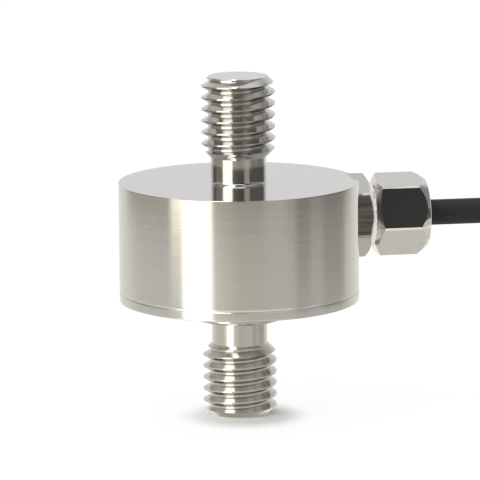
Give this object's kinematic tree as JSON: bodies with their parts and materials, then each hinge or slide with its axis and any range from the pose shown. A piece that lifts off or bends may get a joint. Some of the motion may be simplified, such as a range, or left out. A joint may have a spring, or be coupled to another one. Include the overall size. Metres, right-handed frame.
{
  "type": "miniature load cell",
  "caption": "Round stainless force sensor with a threaded stud on each end face, a welded foot and a side cable gland with a slim black cable.",
  "frame": {"origin": "centre of the lower stud's end face, on which the part stands", "axes": "+Z along the studs towards the upper one, +X out along the cable gland"},
  "size_m": [0.0957, 0.0531, 0.037],
  "materials": {
    "stainless": "turned stainless steel, soft sheen",
    "nickel": "bright nickel plate",
    "washer_brass": "plain turned",
    "seal_rubber": "moulded",
    "gauge_film": "amber film with etched foil",
    "lead_wire": "enamelled copper",
    "board": "glass-fibre board, solder mask",
    "solder": "bright solder",
    "resistor": "fired",
    "jacket": "extruded, satin",
    "core_red": "extruded",
    "core_black": "extruded",
    "core_green": "extruded",
    "core_white": "extruded",
    "tinned_wire": "tinned",
    "tie": "coated wire",
    "sleeve": "shrunk"
  },
  "bodies": {
    "root": {"sensing_body": "stainless", "base_plate": "stainless", "terminal_board": "board", "solder_joints": "solder", "drain_wire": "tinned_wire", "drain_wire_end": "tinned_wire", "gland_body": "nickel", "gland_nut": "nickel", "gland_o_ring": "seal_rubber", "gland_seal": "seal_rubber", "gland_washer": "washer_brass", "cable_in_gland": "jacket", "cable_lead": "jacket", "cable_coil": "jacket", "cable_tail": "jacket", "coil_tie_near": "tie", "coil_tie_far": "tie", "end_sleeve": "sleeve", "strain_gauge_1": "gauge_film", "gauge_leads_1": "lead_wire", "strain_gauge_2": "gauge_film", "gauge_leads_2": "lead_wire", "strain_gauge_3": "gauge_film", "gauge_leads_3": "lead_wire", "strain_gauge_4": "gauge_film", "gauge_leads_4": "lead_wire", "trim_resistor_1": "resistor", "trim_resistor_2": "resistor", "trim_resistor_3": "resistor", "core_red": "core_red", "core_end_red": "core_red", "core_black": "core_black", "core_end_black": "core_black", "core_green": "core_green", "core_end_green": "core_green", "core_white": "core_white", "core_end_white": "core_white"}
  },
  "joints": []
}
